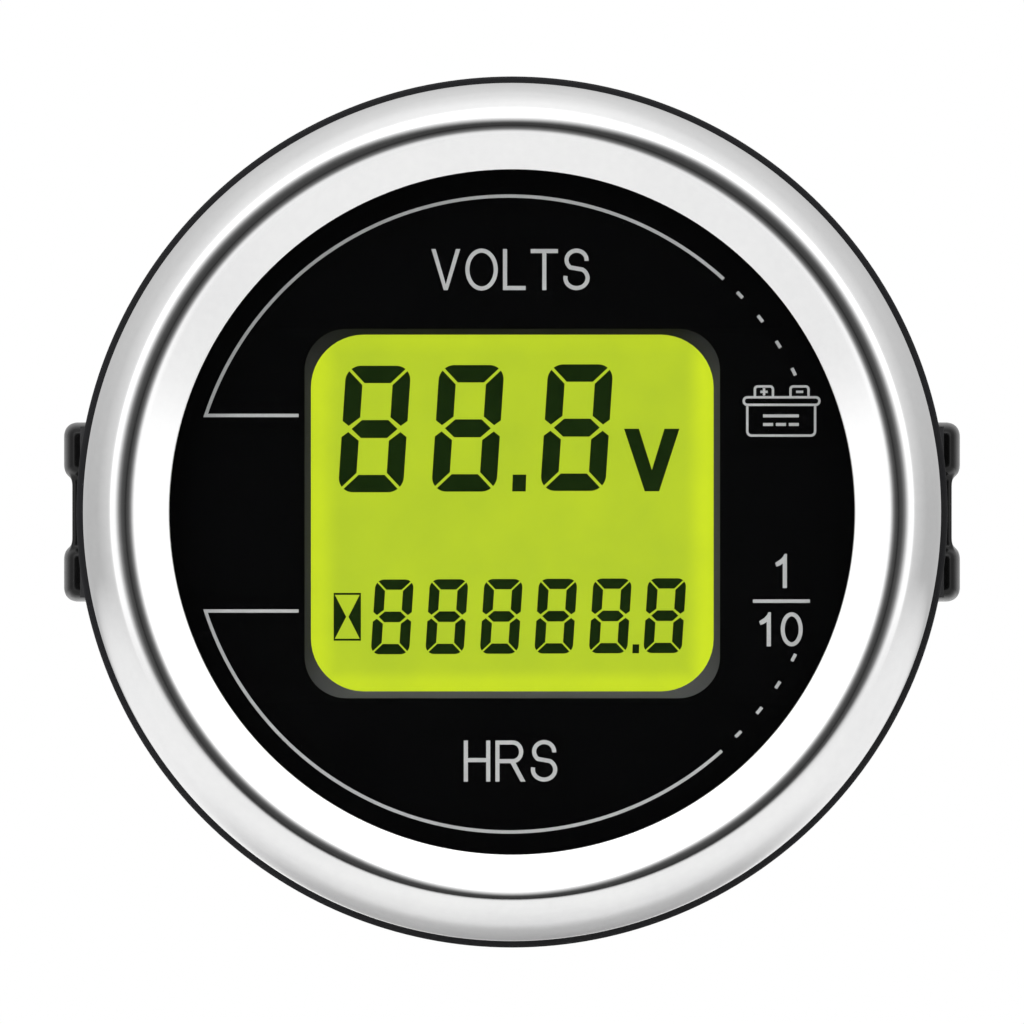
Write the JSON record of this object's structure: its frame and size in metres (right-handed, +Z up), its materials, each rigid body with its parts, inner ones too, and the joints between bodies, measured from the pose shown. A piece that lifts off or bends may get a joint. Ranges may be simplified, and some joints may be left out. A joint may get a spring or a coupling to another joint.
{
  "type": "panel voltmeter and hour meter",
  "caption": "Round panel-mount LCD voltmeter and hour meter with a polished steel bezel, held in a 52 mm cut-out by a winged ring nut.",
  "frame": {"origin": "on the meter's axis, at the rear face of the gasket, where it seats on the panel", "axes": "-Y out of the dial towards the reader, +Z up, +X to the reader's right"},
  "size_m": [0.063, 0.0445, 0.061],
  "materials": {
    "polished_steel": "polished stainless steel",
    "lens_glass": "clear",
    "black_rubber": "matte",
    "dial_black": "printed matte black",
    "frame_grey": "fine grained",
    "display_glass": "yellow-green lit",
    "backlight_acrylic": "frosted",
    "white_film": "satin",
    "led_package": "satin",
    "contact_rubber": "striped",
    "board_laminate": "solder resist",
    "zinc_steel": "zinc plated",
    "component_resin": "moulded",
    "can_metal": "drawn can",
    "housing_plastic": "fine eroded texture",
    "terminal_brass": "stamped",
    "seal_silicone": "matte",
    "washer_plastic": "matte",
    "nut_nylon": "satin gloss",
    "dial_print": "screen-printed grey ink",
    "display_segment": "dark liquid crystal"
  },
  "bodies": {
    "meter": {"bezel": "polished_steel", "lens": "lens_glass", "lens_seal": "black_rubber", "dial_plate": "dial_black", "display_frame": "frame_grey", "lcd_front_glass": "display_glass", "lcd_rear_glass": "display_glass", "backlight_panel": "backlight_acrylic", "reflector_sheet": "white_film", "backlight_led_left": "led_package", "backlight_led_right": "led_package", "contact_strip_upper": "contact_rubber", "contact_strip_lower": "contact_rubber", "circuit_board": "board_laminate", "board_screw_1": "zinc_steel", "board_screw_2": "zinc_steel", "board_screw_3": "zinc_steel", "board_screw_4": "zinc_steel", "microcontroller": "component_resin", "voltage_regulator": "component_resin", "filter_capacitor": "can_metal", "timing_crystal": "can_metal", "housing": "housing_plastic", "terminal_positive": "terminal_brass", "terminal_negative": "terminal_brass", "terminal_seal_positive": "seal_silicone", "terminal_seal_negative": "seal_silicone", "panel_gasket": "black_rubber"},
    "washer": {"clamp_washer": "washer_plastic"},
    "nut": {"ring_nut": "nut_nylon"}
  },
  "joints": [
    {"name": "washer_slide", "type": "slide", "parent": "meter", "child": "washer", "axis": [0, -1, 0], "range_m": [-0.0096, 0.0025]},
    {"name": "nut_turn", "type": "hinge", "parent": "washer", "child": "nut", "pos_m": [0, 0.0084, 0], "axis": [0, -1, 0], "range_deg": [-1152, 300]}
  ],
  "couplings": [
    {"joint": "washer_slide", "follows": "nut_turn", "m_per_rad": 0.00047746}
  ]
}
